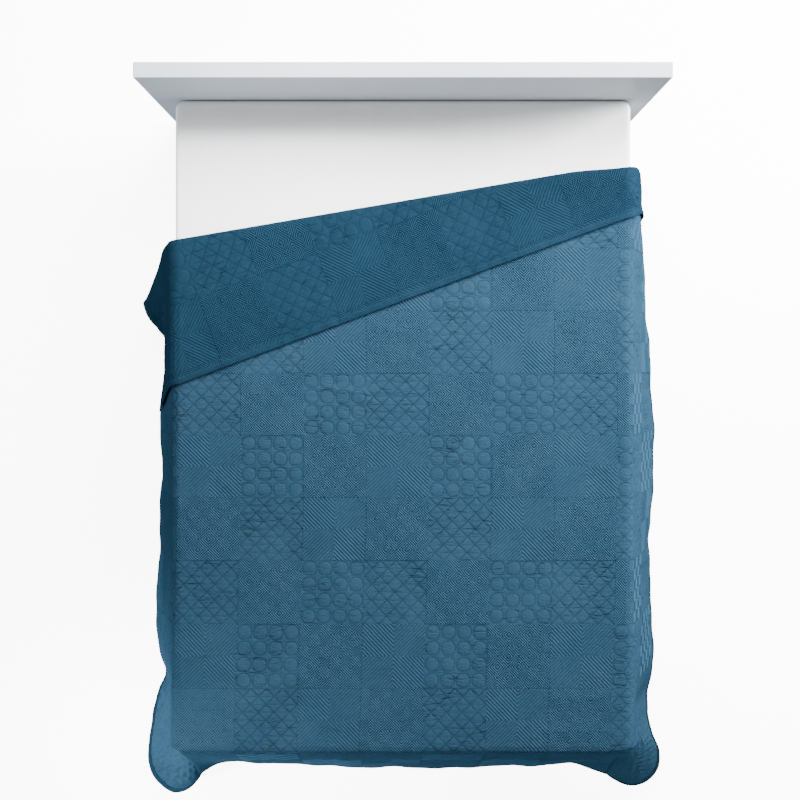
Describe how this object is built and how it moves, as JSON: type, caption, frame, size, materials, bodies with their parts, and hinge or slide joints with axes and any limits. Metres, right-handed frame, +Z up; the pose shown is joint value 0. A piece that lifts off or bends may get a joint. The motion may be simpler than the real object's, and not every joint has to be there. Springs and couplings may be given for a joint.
{
  "type": "embossed bedspread on a bed",
  "caption": "Quilted bedspread with an embossed patchwork of squares, draped over a plain bed with its top edge folded back on the slant; mattress, slatted frame and headboard below.",
  "frame": {"origin": "on the floor, at the middle of the underside of the centre leg, under the middle of the mattress", "axes": "+Z up, +X across the bed to the right seen from the foot, +Y along the bed towards the headboard"},
  "size_m": [1.7451, 2.3345, 0.85],
  "materials": {
    "quilted_cloth": "matt microfibre with a soft sheen, teal blue, embossed",
    "mattress_cloth": "white jersey cover",
    "grey_board": "pale grey satin lacquer",
    "frame_board": "pale grey satin lacquer",
    "slat_wood": "bare light wood"
  },
  "bodies": {
    "root": {"bedspread": "quilted_cloth", "mattress": "mattress_cloth", "headboard": "grey_board", "side_rail_left": "frame_board", "side_rail_right": "frame_board", "foot_rail": "frame_board", "leg_foot_left": "frame_board", "leg_foot_right": "frame_board", "leg_centre": "frame_board", "ledger_left": "slat_wood", "ledger_right": "slat_wood", "centre_beam": "slat_wood", "slat_01": "slat_wood", "slat_02": "slat_wood", "slat_03": "slat_wood", "slat_04": "slat_wood", "slat_05": "slat_wood", "slat_06": "slat_wood", "slat_07": "slat_wood", "slat_08": "slat_wood", "slat_09": "slat_wood", "slat_10": "slat_wood", "slat_11": "slat_wood", "slat_12": "slat_wood"}
  },
  "joints": []
}
